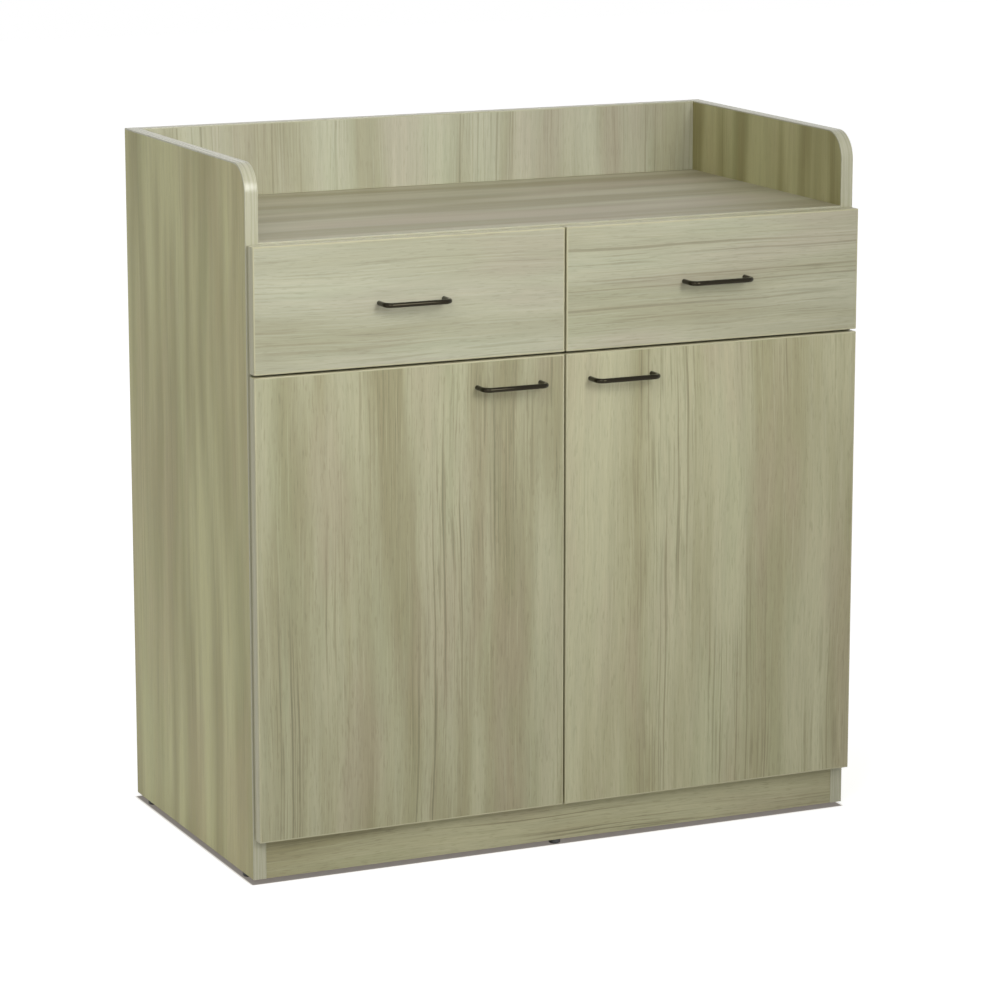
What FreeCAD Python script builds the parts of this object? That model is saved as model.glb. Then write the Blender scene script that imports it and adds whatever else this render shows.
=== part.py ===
import FreeCAD, Part
import os

from FreeCAD import Placement, Rotation, Vector

# Waiter service station: a laminated-board cabinet with a worktop inside a raised gallery, two
# drawers on full-extension slides and two doors on concealed cup hinges.
#
# Frame: X to the right along the front, Y from the front to the back, Z up. The origin is on the
# floor, under the middle of the whole object. Everything is drawn on the left and mirrored.

DIMENSIONS = {
    # carcass
    "cabinet_width": 930,         # over both side panels
    "cabinet_depth": 480,         # side panel, front edge to back edge
    "cabinet_height": 1000,       # floor to the top of the gallery
    "board": 19,                  # laminated chipboard
    "edging": 2,                  # plastic strip on the outer edges
    "edging_round": 1,            # rounding of that strip's long edges
    "inner_edging": 1,            # strip on the boards inside
    "worktop_height": 895,        # floor to the worktop's surface
    "gallery_radius": 40,         # front top corner of each side panel
    "plinth_height": 60,          # plinth board, under the base panel
    "plinth_recess": 1,           # plinth behind the side panels' front edges
    "glide_height": 7,
    "glide_radius": 8.5,
    "glide_bevel": 1.5,
    "glide_inset": 45,            # glide centre from the end of its board
    "nail_radius": 1.2,
    "nail_length": 16,
    # fronts
    "front_gap": 2,               # between the carcass and the backs of doors and drawer fronts
    "reveal": 2,                  # side panel that shows beside a door or drawer front
    "door_gap": 3,                # between the two doors
    "drawer_gap": 3,              # between the two drawer fronts
    "row_gap": 3.5,               # between drawer fronts and doors
    "worktop_lip": 2.5,           # worktop surface above the drawer fronts
    "drawer_front_height": 174,
    "door_drop": 2,               # door below the underside of the base panel
    # bow handles
    "handle_centres": 96,
    "handle_rod": 3.5,            # radius
    "handle_reach": 31,           # front face to the outside of the bow
    "handle_bend": 10,            # bend radius on the rod's centre line
    "handle_inset": 37,           # door handle from the meeting edge and from the top edge
    # shelves
    "shelf_setback": 25,
    "shelf_play": 1.5,
    "pin_radius": 2.5,
    "pin_depth": 8,               # hole for a shelf pin
    "pin_reach": 7,               # pin standing out of the panel
    "pin_column": 60,             # column of holes from the front and from the back panel
    "pin_first": 214,             # lowest hole above the base panel
    "pin_pitch": 32,
    # joints between boards
    "cam_radius": 7.5,
    "bolt_play": 1,               # bolt's radial clearance in the bore of its board
    "cam_depth": 13,
    "cam_inset": 34,              # cam centre from the end of its board
    "cam_margin": 55,             # cam from the front or the back of its board
    "bolt_radius": 3,
    "bolt_neck": 3.8,             # radius of the bolt's end in the cam
    "bolt_thread": 11,            # bolt inside the side panel
    "dowel_radius": 4,
    "dowel_length": 35,
    "dowel_share": 12,            # dowel inside the board that is drilled in its face
    # drawer boxes and slides
    "box_board": 16,
    "box_height": 120,
    "box_clearance": 43,          # between the drawer box and the back panel
    "box_lift": 14,               # box above the divider shelf
    "bottom_board": 4,
    "bottom_rise": 10,            # drawer bottom above the lower edge of the box
    "bottom_groove": 6,
    "slide_clearance": 59,        # between a slide and the back panel
    "slide_height": 45,
    "slide_width": 12.7,
    "slide_setback": 2,           # slide behind the front edge of the carcass
    "slide_rise": 55,             # slide centre above the lower edge of the box
    "slide_steel": 1.2,
    "slide_play": 0.5,            # between the webs of one slide member and the next
    "slide_race": 6,              # room for the balls between two members' flanges
    "slide_screw": 9,             # length
    # concealed hinges
    "cup_radius": 17.5,
    "cup_depth": 12,
    "cup_edge": 22.5,             # cup centre from the outer edge of the door
    "cup_wall": 1,
    "cup_flange": 0.9,
    "cup_rim": 2,                 # flange standing out round the cup
    "hinge_end": 100,             # hinge centre from the top or bottom of the door
    "hinge_pin": 1,               # radius
    "link_half": 1.6,             # half the width of a link
    # screws and bumpers
    "screw_radius": 1.75,
    "screw_head": 3.5,
    "handle_screw": 2,            # radius
    "bumper_radius": 3.5,
    "bumper_height": 1.6,
    "bumper_inset": 20,
    "handle_thread": 8,           # handle screw inside the post
    "plate_screw": 13,            # lengths of the other screws
    "arm_screw": 7,
    "cup_screw": 12,
    "front_screw": 29,
    "corner_screw": 40,
    "box_screw_inset": 22,        # screw from the upper or lower edge of the drawer box
    "front_screw_inset": 56,
}
FIT = 0.05                        # radial clearance of pins and of fittings in their holes
PIN_ROWS = 7
SHELF_ROW = 3                     # hole row that carries the adjustable shelf, counted from 0

# Outlines of the hinge parts with the door shut, in mm from the outer back corner of the door:
# first along the door towards its free edge, then into the cabinet.
OUTER_PIN = (24.85, 7.88)         # outer link on the arm
OUTER_CUP_PIN = (9.6, -3.24)      # outer link in the cup
INNER_PIN = (32.7, -1.79)         # inner link on the arm
INNER_CUP_PIN = (14.54, -2.7)     # inner link in the cup
OUTER_LINK = [OUTER_PIN, (25.09, 3.12), (23.04, -0.8), (15.81, -6.5), (12.51, -6.61), OUTER_CUP_PIN]
INNER_LINK = [INNER_PIN, (27.4, -3.39), (21.45, -4.53), (18.02, -4.4), INNER_CUP_PIN]
ARM_NECK = (24.5, 14)             # where the arm's nose runs into its channel
ARM_NOSE_HALF = 2.6               # half width of the nose round its two pins
ARM_NECK_HALF = 3.5
ARM_WEB = (27.5, 29)              # thickness of the channel's back, along the door
ARM_EDGE = 20                     # open edge of the channel
ARM_SPAN = (14, 64)               # channel, from the door's back into the cabinet
PLATE_SPAN = (22, 67)             # mounting plate
PLATE_STEEL = 2
PLATE_HALF = 9
PLATE_SCREW_ROW = 39              # screws of the mounting plate, into the cabinet
PLATE_WING = (7, 24)              # half length and reach up and down of its two wings
PLATE_SCREW_REACH = 16            # screw above and below the hinge's middle
ARM_SCREW_ROWS = (32, 54)
LINK_CORE = 3.8                   # half height of the inner link
LINK_PLATES = (4.2, 5.2)          # the outer link's two plates, from the hinge's middle
ARM_CHEEKS = (5.8, 7.0)
BOSS_HALF = 5.3                   # plate boss that fills the channel
EYE_HALF = 2.0                    # eye round a link's pin
CUP_PIN_START = 4.15              # nearest that the outer cup pins come to the hinge's middle
OPEN_PIN_START = 5.8              # the same for the inner cup pins, clear of the outer link
WING_SCREW = (9.5, 22.5)          # cup screw: away from the door's edge, and up or down
WING_MARGIN = 5.5                 # wing round its screw
WING_START = 3                    # wing from the cup's centre

AXES = {"x": Vector(1, 0, 0), "y": Vector(0, 1, 0), "z": Vector(0, 0, 1)}


class Size:
    """A length in mm together with the spreadsheet expression that it comes from."""

    def __init__(self, value, text):
        self.value = float(value)
        self.text = text

    def __float__(self):
        return self.value

    def __add__(self, other):
        return Size(self.value + float(other), f"({self.text} + {words(other)})")

    def __sub__(self, other):
        return Size(self.value - float(other), f"({self.text} - {words(other)})")

    def __mul__(self, other):
        return Size(self.value * float(other), f"({self.text} * {words(other)})")

    def __truediv__(self, other):
        return Size(self.value / float(other), f"({self.text} / {words(other)})")

    def __neg__(self):
        return Size(-self.value, f"(0 - {self.text})")

    def __rsub__(self, other):
        return Size(float(other) - self.value, f"({words(other)} - {self.text})")

    __radd__ = __add__
    __rmul__ = __mul__


def words(size):
    """The expression text of a Size or of a plain number."""
    return size.text if isinstance(size, Size) else f"({size})"


doc = FreeCAD.newDocument("service_station")
sheet = doc.addObject("Spreadsheet::Sheet", "dims")
sizes = {}
for row, (name, number) in enumerate(DIMENSIONS.items(), start=1):
    sheet.set(f"A{row}", name)
    sheet.set(f"B{row}", str(number))
    sheet.setAlias(f"B{row}", name)
    sizes[name] = Size(number, f"dims.{name}")
doc.recompute()


class Named:
    """Gives each driving dimension as an attribute, such as d.board."""

    def __getattr__(self, name):
        return sizes[name]


d = Named()
parts = {}                        # node name: document object
drillings = {}                    # board name: pieces to cut out of it on the left
central = {}                      # board name: pieces to cut out of it on the middle plane


# ---------------------------------------------------------------- drawing tools

def bind(thing, **sizes_by_property):
    for path, size in sizes_by_property.items():
        thing.setExpression(path, words(size))


def place(thing, corner, rotation=Rotation()):
    thing.Placement = Placement(Vector(), rotation)
    for axis, size in zip("xyz", corner):
        thing.setExpression(f"Placement.Base.{axis}", words(size))


def box(label, low, high):
    """A box between two corners."""
    thing = doc.addObject("Part::Box", label)
    length, width, height = [top - bottom for bottom, top in zip(low, high)]
    bind(thing, Length=length, Width=width, Height=height)
    place(thing, low)
    return thing


def rod(label, start, axis, radius, length):
    """A round bar from a point along +X, +Y or +Z."""
    thing = doc.addObject("Part::Cylinder", label)
    bind(thing, Radius=radius, Height=length)
    place(thing, start, Rotation(AXES["z"], AXES[axis]))
    return thing


def taper(label, start, axis, first, last, length):
    """A round taper from a point along +X, +Y or +Z."""
    thing = doc.addObject("Part::Cone", label)
    bind(thing, Radius1=first, Radius2=last, Height=length)
    place(thing, start, Rotation(AXES["z"], AXES[axis]))
    return thing


def together(label, pieces):
    """Separate solids kept in one group."""
    thing = doc.addObject("Part::Compound", label)
    thing.Links = pieces
    return thing


def fused(label, pieces):
    thing = doc.addObject("Part::MultiFuse", label)
    thing.Shapes = pieces
    return thing


def cut(label, base, pieces):
    thing = doc.addObject("Part::Cut", label)
    thing.Base = base
    thing.Tool = pieces[0] if len(pieces) == 1 else together(f"{label}_cuts", pieces)
    return thing


def mirrored(label, source):
    """The same piece on the right of the cabinet."""
    thing = doc.addObject("Part::Mirroring", label)
    thing.Source = source
    thing.Base = Vector()
    thing.Normal = AXES["x"]
    return thing


def both(label, piece):
    """A piece and its mirror image."""
    return [piece, mirrored(f"{label}_mirror", piece)]


def rounded(label, base, radius, wanted):
    """Rounds the edges whose two end points pass a test."""
    doc.recompute()
    edges = [
        (number, float(radius), float(radius))
        for number, edge in enumerate(base.Shape.Edges, start=1)
        if len(edge.Vertexes) == 2 and wanted(*[vertex.Point for vertex in edge.Vertexes])
    ]
    if not edges:
        raise RuntimeError(f"{label}: no edge to round")
    thing = doc.addObject("Part::Fillet", label)
    thing.Base = base
    thing.Edges = edges
    return thing


def drill(board, *pieces, holes=drillings):
    holes.setdefault(board, []).extend(pieces)


def drilled(board, blank, shared=False):
    """Cuts a board's holes. A shared board reaches over both halves, so its left holes repeat."""
    pieces = list(drillings.get(board, []))
    if shared and pieces:
        pieces = both(f"{board}_holes", together(f"{board}_holes", pieces))
    return cut(f"{board}_board", blank, pieces + central.get(board, []))


def node(label, thing):
    """Names a finished sub-part."""
    thing.Label = label
    parts[label] = thing
    return thing


# ---------------------------------------------------------------- lines that pieces share

overall_depth = d.cabinet_depth + d.front_gap + d.board + d.handle_reach
front = -overall_depth / 2 + d.front_gap + d.board + d.handle_reach    # carcass front plane
back = front + d.cabinet_depth
door_back = front - d.front_gap
door_face = door_back - d.board
left = -d.cabinet_width / 2                                            # outer face of the side
inside = left + d.board                                                # inner face of the side
middle = -d.board / 2                                                  # left face of the partition
back_face = back - d.board                                             # front of the back panel
floor = d.glide_height
base_low = floor + d.plinth_height
base_top = base_low + d.board
worktop_low = d.worktop_height - d.board
fronts_top = d.worktop_height - d.worktop_lip
drawer_low = fronts_top - d.drawer_front_height
door_top = drawer_low - d.row_gap
door_low = base_low - d.door_drop
divider_low = drawer_low - d.row_gap / 2 - d.board / 2
divider_top = divider_low + d.board
front_left = left + d.reveal                                           # outer edge of the fronts
ends = (front + d.cam_margin, back_face - d.cam_margin)                # rows of cams and dowels
halfway = (front + back_face) / 2


# ---------------------------------------------------------------- fittings between boards

cams, bolts, dowels = [], [], []


def cam_joint(label, end, face, into, y, z, board, side):
    """A cam lock in a board and its bolt in the side panel that the board's end meets.

    end is the board's end and face the level where the cam is let in; into is "z" for a cam in an
    underside and "y" for one in a rear face, where it goes towards the front.
    """
    centre_x = end + d.cam_inset
    if into == "z":
        seat = (centre_x, y, face)
        depth = d.cam_depth
    else:
        seat = (centre_x, face - d.cam_depth, z)
        depth = d.cam_depth
    body = rod(f"{label}_cam_blank", seat, into, d.cam_radius, depth)
    bore = rod(f"{label}_bolt_bore", (end, y, z), "x", d.bolt_radius + d.bolt_play, d.cam_inset)
    cams.append(cut(f"{label}_cam", body, [bore]))
    shank = rod(f"{label}_bolt_shank", (end - d.bolt_thread, y, z), "x", d.bolt_radius,
                d.bolt_thread + d.cam_inset - d.cam_radius / 2)
    neck = rod(f"{label}_bolt_neck", (end + d.cam_inset - d.cam_radius, y, z), "x",
               d.bolt_neck, d.cam_radius / 2)
    bolts.append(fused(f"{label}_bolt", [shank, neck]))
    drill(board, bore, rod(f"{label}_cam_seat", seat, into, d.cam_radius + FIT, depth))
    drill(side, rod(f"{label}_thread", (end - d.bolt_thread, y, z), "x", d.bolt_radius + FIT,
                    d.bolt_thread))


def dowel(label, start, axis, length=None):
    """A dowel from a point along an axis, and the hole that it needs."""
    length = length or d.dowel_length
    return (rod(label, start, axis, d.dowel_radius, length),
            rod(f"{label}_hole", start, axis, d.dowel_radius + FIT, length))


def moved(point, axis, distance):
    return [size + distance if axis == letter else size for letter, size in zip("xyz", point)]


def screw_shape(label, seat, axis, sign, length, play=0.0):
    """A countersunk screw with its head flush at seat, driven along the axis; play widens it."""
    radius = d.screw_radius + play
    head = d.screw_head + play
    sink = head - radius
    if sign > 0:
        cone = taper(f"{label}_head", seat, axis, head, radius, sink)
        shank = rod(f"{label}_shank", seat, axis, radius, length)
    else:
        cone = taper(f"{label}_head", moved(seat, axis, -sink), axis, radius, head, sink)
        shank = rod(f"{label}_shank", moved(seat, axis, -length), axis, radius, length)
    return fused(label, [cone, shank])


def screw(label, seat, axis, sign, length):
    """A countersunk screw and the hole that it needs."""
    return (screw_shape(label, seat, axis, sign, length),
            screw_shape(f"{label}_hole", seat, axis, sign, length, FIT))


# ---------------------------------------------------------------- carcass joints

for row, y in (("front", ends[0]), ("rear", ends[1])):
    for board, low in (("worktop", worktop_low), ("base_panel", base_low),
                       ("divider_shelf", divider_low)):
        cam_joint(f"{board}_{row}", inside, low, "z", y, low + d.board / 2, board, "side_panel")
for row, z in (("low", d.cabinet_height * 0.25), ("high", d.cabinet_height * 0.75)):
    cam_joint(f"back_panel_{row}", inside, back, "y", back - d.board / 2, z, "back_panel",
              "side_panel")

for board, y, z in (
    ("worktop", halfway, worktop_low + d.board / 2),
    ("base_panel", halfway, base_low + d.board / 2),
    ("plinth", front + d.plinth_recess + d.board / 2, floor + d.plinth_height / 2),
    ("back_panel", back - d.board / 2, d.cabinet_height / 2),
):
    pin, hole = dowel(f"{board}_dowel", (inside - d.dowel_share, y, z), "x")
    dowels.append(pin)
    drill(board, hole)
    drill("side_panel", hole)

middle_dowels = []
through = d.board + (d.dowel_length - d.dowel_share) * 2
for row, y in (("front", ends[0]), ("rear", ends[1])):
    pin, hole = dowel(f"divider_dowel_{row}", (-through / 2, y, divider_low + d.board / 2), "x",
                      through)
    middle_dowels.append(pin)
    drill("centre_partition", hole, holes=central)
    drill("divider_shelf", hole)
    for board, start in (("worktop", worktop_low + d.dowel_share - d.dowel_length),
                         ("base_panel", base_top - d.dowel_share)):
        pin, hole = dowel(f"partition_{board}_{row}", (0, y, start), "z")
        middle_dowels.append(pin)
        drill("centre_partition", hole, holes=central)
        drill(board, hole, holes=central)


# ---------------------------------------------------------------- shelf pins and their holes

shelf_pins = []
shelf_low = base_top + d.pin_first + d.pin_pitch * SHELF_ROW + d.pin_radius
columns = (front + d.pin_column, back_face - d.pin_column)
for column, y in enumerate(columns):
    for row in range(PIN_ROWS):
        z = base_top + d.pin_first + d.pin_pitch * row
        drill("centre_partition", rod(f"partition_hole_{column}_{row}", (middle, y, z), "x",
                                      d.pin_radius, d.pin_depth))
        drill("side_panel", rod(f"side_hole_{column}_{row}", (inside - d.pin_depth, y, z), "x",
                                d.pin_radius, d.pin_depth))
    z = shelf_low - d.pin_radius
    collar = d.shelf_play * 0.8
    for name, start, ring in (("side", inside - d.pin_depth, inside),
                              ("partition", middle - d.pin_reach, middle - collar)):
        shelf_pins.append(fused(f"shelf_pin_{name}_{column}", [
            rod(f"shelf_pin_stem_{name}_{column}", (start, y, z), "x", d.pin_radius - FIT,
                d.pin_depth + d.pin_reach),
            rod(f"shelf_pin_collar_{name}_{column}", (ring, y, z), "x", d.pin_radius * 1.6, collar),
        ]))
node("shelf_pins", together("shelf_pins", both("shelf_pins_left", together("pins", shelf_pins))))


# ---------------------------------------------------------------- glides under the carcass

glides = []
for name, x, y in (
    ("side_front", left + d.board / 2, front + d.glide_inset),
    ("side_rear", left + d.board / 2, back - d.glide_inset),
    ("plinth", 0, front + d.plinth_recess + d.board / 2),
    ("back", 0, back - d.board / 2),
):
    nail = rod(f"glide_nail_{name}", (x, y, floor - d.glide_height / 2), "z", d.nail_radius,
               d.nail_length)
    glide = fused(f"glide_{name}", [
        taper(f"glide_foot_{name}", (x, y, 0), "z", d.glide_radius - d.glide_bevel,
              d.glide_radius, d.glide_bevel),
        rod(f"glide_disc_{name}", (x, y, d.glide_bevel), "z", d.glide_radius,
            d.glide_height - d.glide_bevel),
        nail,
    ])
    hole = rod(f"glide_hole_{name}", (x, y, floor), "z", d.nail_radius + FIT, d.nail_length)
    if name.startswith("side"):
        glides += both(f"glide_{name}", glide)
        drill("side_panel", hole)
    else:
        glides.append(glide)
        drill("plinth" if name == "plinth" else "back_panel", hole, holes=central)
node("floor_glides", together("floor_glides", glides))


# ---------------------------------------------------------------- drawer slides

slide_screws = []
box_low = divider_top + d.box_lift
box_top = box_low + d.box_height
slide_z = box_low + d.slide_rise
slide_front = front + d.slide_setback
slide_back = back_face - d.slide_clearance
screw_rows = [slide_front + (slide_back - slide_front) * share for share in (0.09, 0.5, 0.91)]


def across(face, sign, near, far):
    """The lower and the higher X of a stretch that is measured from a face along sign."""
    return (face + near, face + far) if sign > 0 else (face - far, face - near)


def channel(label, face, sign, web, reach, half_height, lip=None):
    """A rolled slide member: a web, two flanges and, on the outer one, two lips, from a face."""
    near, far = reach
    strips = [(web, (-half_height, half_height))]
    for side in (-1, 1):
        edge = half_height * side
        inner = (half_height - d.slide_steel) * side
        strips.append((reach, (edge, inner) if side < 0 else (inner, edge)))
        if lip:
            end = (half_height - d.slide_steel - lip) * side
            strips.append(((far - d.slide_steel, far), (inner, end) if side < 0 else (end, inner)))
    boxes = []
    for number, ((first, last), (low, high)) in enumerate(strips):
        x_low, x_high = across(face, sign, first, last)
        boxes.append(box(f"{label}_strip_{number}", (x_low, slide_front, slide_z + low),
                         (x_high, slide_back, slide_z + high)))
    return fused(label, boxes)


cabinet_members, middle_members, drawer_members, drawer_screws = [], [], [], []
outer_half = d.slide_height / 2
middle_half = outer_half - d.slide_race
inner_half = middle_half - d.slide_race * 0.75
middle_web = d.slide_steel + d.slide_play
inner_start = middle_web + d.slide_steel + d.slide_play
for name, face, sign, board in (("side", inside, 1, "side_panel"),
                                ("partition", middle, -1, "centre_partition")):
    outer = channel(f"cabinet_member_{name}", face, sign, (0, d.slide_steel),
                    (0, d.slide_width * 0.75), outer_half, d.slide_race * 0.4)
    inner = channel(f"drawer_member_{name}", face, sign,
                    (d.slide_width - d.slide_steel, d.slide_width),
                    (inner_start, d.slide_width), inner_half)
    middle_members.append(channel(f"middle_member_{name}", face, sign,
                                  (middle_web, middle_web + d.slide_steel),
                                  (middle_web, d.slide_width * 0.7), middle_half))
    outer_holes, inner_holes = [], []
    for row, y in enumerate(screw_rows):
        x = face + d.slide_steel * sign
        made, hole = screw(f"cabinet_member_screw_{name}_{row}", (x, y, slide_z), "x", -sign,
                           d.slide_screw)
        slide_screws.append(made)
        outer_holes.append(hole)
        drill(board, hole)
        x = face + (d.slide_width - d.slide_steel) * sign
        made, hole = screw(f"drawer_member_screw_{name}_{row}", (x, y, slide_z), "x", sign,
                           d.slide_screw)
        drawer_screws.append(made)
        inner_holes.append(hole)
        drill("box_sides", hole)
    cabinet_members.append(cut(f"cabinet_member_{name}_drilled", outer, outer_holes))
    drawer_members.append(cut(f"drawer_member_{name}_drilled", inner, inner_holes))
node("slide_cabinet_members", together("slide_cabinet_members",
     both("cabinet_members", together("cabinet_members", cabinet_members))))


# ---------------------------------------------------------------- concealed hinges

hinge_levels = {"low": door_low + d.hinge_end, "high": door_top - d.hinge_end}
hinge_pieces = {name: [] for name in ("plates", "arms", "cups", "outer", "inner", "plate_screws",
                                      "cup_screws")}
cup_x = front_left + d.cup_edge
web_x = front_left + ARM_WEB[1]


def strap(label, points, half, low, high):
    """A flat bar with round ends through the outline's points, between two levels."""
    pieces = []
    for number, (start, end) in enumerate(zip(points, points[1:])):
        along = Vector(end[0] - start[0], end[1] - start[1], 0)
        sideways = Vector(-along.y, along.x, 0).normalize()
        bar = doc.addObject("Part::Box", f"{label}_bar_{number}")
        bind(bar, Length=along.Length, Width=half * 2, Height=high - low)
        place(bar, (front_left + start[0] - half * sideways.x,
                    door_back + start[1] - half * sideways.y, low), Rotation(AXES["x"], along))
        pieces.append(bar)
    for number, (u, v) in enumerate(points):
        pieces.append(rod(f"{label}_end_{number}", (front_left + u, door_back + v, low), "z", half,
                          high - low))
    return fused(label, pieces)


def pin_at(label, point, z, radius, start, end):
    """A hinge pin between two levels measured from the hinge's middle."""
    return rod(label, (front_left + point[0], door_back + point[1], z + start), "z", radius,
               end - start)


def hinge(name, z):
    """One hinge: mounting plate, arm, two links and cup, all drawn with the door shut."""
    near, far = ARM_CHEEKS
    plate_low, plate_high = [door_back + y for y in PLATE_SPAN]
    row = door_back + PLATE_SCREW_ROW
    plate = fused(f"hinge_plate_{name}", [
        box(f"plate_foot_{name}", (inside, plate_low, z - PLATE_HALF),
            (inside + PLATE_STEEL, plate_high, z + PLATE_HALF)),
        box(f"plate_wing_{name}", (inside, row - PLATE_WING[0], z - PLATE_WING[1]),
            (inside + PLATE_STEEL, row + PLATE_WING[0], z + PLATE_WING[1])),
        box(f"plate_boss_{name}", (inside, plate_low, z - BOSS_HALF),
            (front_left + ARM_WEB[0], plate_high, z + BOSS_HALF)),
    ])
    arm_low, arm_high = [door_back + y for y in ARM_SPAN]
    arm = [box(f"arm_web_{name}", (front_left + ARM_WEB[0], arm_low, z - far),
               (web_x, arm_high, z + far))]
    for side, (low, high) in {"low": (-far, -near), "high": (near, far)}.items():
        arm.append(box(f"arm_cheek_{name}_{side}", (front_left + ARM_EDGE, arm_low, z + low),
                       (web_x, arm_high, z + high)))
        arm.append(strap(f"arm_nose_{name}_{side}", [INNER_PIN, OUTER_PIN], ARM_NOSE_HALF,
                         z + low, z + high))
        arm.append(strap(f"arm_neck_{name}_{side}", [OUTER_PIN, ARM_NECK], ARM_NECK_HALF,
                         z + low, z + high))
    for label, point in (("outer", OUTER_PIN), ("inner", INNER_PIN)):
        arm.append(pin_at(f"arm_pin_{name}_{label}", point, z, d.hinge_pin, -far, far))
    arm = fused(f"hinge_arm_{name}", arm)

    plate_holes, arm_holes = [], []
    for side, reach in (("low", -PLATE_SCREW_REACH), ("high", PLATE_SCREW_REACH)):
        made, hole = screw(f"plate_screw_{name}_{side}", (inside + PLATE_STEEL, row, z + reach),
                           "x", -1, d.plate_screw)
        hinge_pieces["plate_screws"].append(made)
        plate_holes.append(hole)
        drill("side_panel", hole)
    for number, depth in enumerate(ARM_SCREW_ROWS):
        made, hole = screw(f"arm_screw_{name}_{number}", (web_x, door_back + depth, z), "x", -1,
                           d.arm_screw)
        hinge_pieces["plate_screws"].append(made)
        plate_holes.append(hole)
        arm_holes.append(hole)
    hinge_pieces["plates"].append(cut(f"plate_{name}", plate, plate_holes))
    hinge_pieces["arms"].append(cut(f"arm_{name}", arm, arm_holes))

    low, high = LINK_PLATES
    eye_holes = [pin_at(f"outer_hole_{name}_{number}", point, z, d.hinge_pin + FIT, -high, high)
                 for number, point in enumerate((OUTER_PIN, OUTER_CUP_PIN))]
    for side, (start, end) in {"low": (-high, -low), "high": (low, high)}.items():
        eyes = [pin_at(f"outer_eye_{name}_{side}_{number}", point, z, EYE_HALF, start, end)
                for number, point in enumerate((OUTER_PIN, OUTER_CUP_PIN))]
        plate = strap(f"outer_strap_{name}_{side}", OUTER_LINK, d.link_half, z + start, z + end)
        hinge_pieces["outer"].append(cut(f"outer_link_{name}_{side}", fused(
            f"outer_blank_{name}_{side}", [plate] + eyes), eye_holes))
    hinge_pieces["inner"].append(cut(f"inner_link_{name}", fused(f"inner_blank_{name}", [
        strap(f"inner_strap_{name}", INNER_LINK[:-1], d.link_half, z - LINK_CORE, z + LINK_CORE),
        strap(f"inner_tip_{name}", INNER_LINK[-2:], d.hinge_pin, z - LINK_CORE, z + LINK_CORE),
        pin_at(f"inner_eye_{name}", INNER_PIN, z, EYE_HALF, -LINK_CORE, LINK_CORE),
    ]), [pin_at(f"inner_hole_{name}", INNER_PIN, z, d.hinge_pin + FIT, -LINK_CORE, LINK_CORE)]))

    bottom = door_back - d.cup_depth
    screw_x = cup_x + WING_SCREW[0]
    hull = rod(f"cup_hull_{name}", (cup_x, bottom, z), "y", d.cup_radius - FIT, d.cup_depth)
    cavity = rod(f"cup_cavity_{name}", (cup_x, bottom + d.cup_wall, z), "y",
                 d.cup_radius - d.cup_wall, d.cup_depth + d.cup_flange)
    stubs = []
    for label, point, start in (("outer", OUTER_CUP_PIN, CUP_PIN_START),
                                ("open", INNER_CUP_PIN, OPEN_PIN_START)):
        for side, (first, last) in (("low", (-d.cup_radius, -start)), ("high", (start, d.cup_radius))):
            stub = doc.addObject("Part::MultiCommon", f"cup_stub_{name}_{label}_{side}")
            stub.Shapes = [hull, pin_at(f"cup_pin_{name}_{label}_{side}", point, z, d.hinge_pin,
                                        first, last)]
            stubs.append(stub)
    cup = cut(f"cup_open_{name}", fused(f"cup_blank_{name}", [
        hull,
        rod(f"cup_ring_{name}", (cup_x, door_back, z), "y", d.cup_radius + d.cup_rim, d.cup_flange),
        box(f"cup_wing_{name}", (cup_x + WING_START, door_back, z - WING_SCREW[1] - WING_MARGIN),
            (screw_x + WING_MARGIN, door_back + d.cup_flange, z + WING_SCREW[1] + WING_MARGIN)),
    ]), [cavity])
    cup_holes = []
    for side, reach in (("low", -WING_SCREW[1]), ("high", WING_SCREW[1])):
        made, hole = screw(f"cup_screw_{name}_{side}",
                           (screw_x, door_back + d.cup_flange, z + reach), "y", -1, d.cup_screw)
        hinge_pieces["cup_screws"].append(made)
        cup_holes.append(hole)
        drill("door_panel", hole)
    hinge_pieces["cups"].append(fused(f"cup_{name}", [
        cut(f"cup_drilled_{name}", cup, cup_holes)] + stubs))
    drill("door_panel", rod(f"cup_bore_{name}", (cup_x, bottom, z), "y", d.cup_radius,
                            d.cup_depth))


for name, z in hinge_levels.items():
    hinge(name, z)
node("hinge_plates", together("hinge_plates", both("plates", together("plates", hinge_pieces["plates"]))))
node("hinge_arms", together("hinge_arms", both("arms", together("arms", hinge_pieces["arms"]))))
node("hinge_screws", together("hinge_screws", both("hinge_screws_left", together(
    "hinge_screws_left", hinge_pieces["plate_screws"]))))


# ---------------------------------------------------------------- fronts, handles and drawer boxes

def banded(label, low, high):
    """A board with edging on all four edges: the board, and the ring of edging round it."""
    board = box(f"{label}_core", (low[0] + d.edging, low[1], low[2] + d.edging),
                (high[0] - d.edging, high[1], high[2] - d.edging))
    blank = box(f"{label}_blank", low, high)
    ring = cut(f"{label}_ring", blank, [board])
    faces = [float(low[1]), float(high[1])]
    rim = [(0, float(low[0])), (0, float(high[0])), (2, float(low[2])), (2, float(high[2]))]

    def on_rim(first, last):
        same_face = any(abs(first.y - y) < 0.01 and abs(last.y - y) < 0.01 for y in faces)
        return same_face and any(abs(first[axis] - level) < 0.01 and abs(last[axis] - level) < 0.01
                                 for axis, level in rim)

    return board, rounded(f"{label}_edging", ring, d.edging_round, on_rim)


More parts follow.
